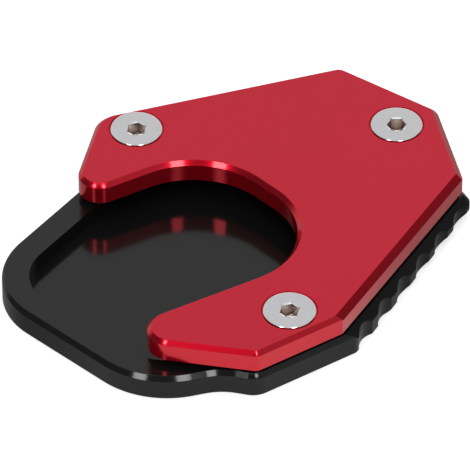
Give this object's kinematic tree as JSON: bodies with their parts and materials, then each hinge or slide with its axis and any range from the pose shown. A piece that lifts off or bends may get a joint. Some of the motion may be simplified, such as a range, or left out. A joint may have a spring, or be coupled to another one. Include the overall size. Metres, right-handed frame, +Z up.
{
  "type": "kickstand foot enlarger",
  "caption": "Flat plate that widens the foot of a motorcycle side stand: black base with a pocket and a scalloped side, and a red slotted clamp plate held on by countersunk screws.",
  "frame": {"origin": "on the underside, on the middle line of the slot, below the line between the two screws beside the slot", "axes": "+Z up from the ground to the clamp plate, -X along the slot towards its open mouth, +Y to the shorter arm beside the slot"},
  "size_m": [0.1136, 0.0885, 0.0131],
  "materials": {
    "black_anodised": "black anodised, satin",
    "red_anodised": "red anodised, satin top and glossy edges",
    "stainless": "plain turned stainless steel"
  },
  "bodies": {
    "root": {"base_plate": "black_anodised", "clamp_plate": "red_anodised", "screw_left": "stainless", "screw_front": "stainless", "screw_right": "stainless"}
  },
  "joints": []
}
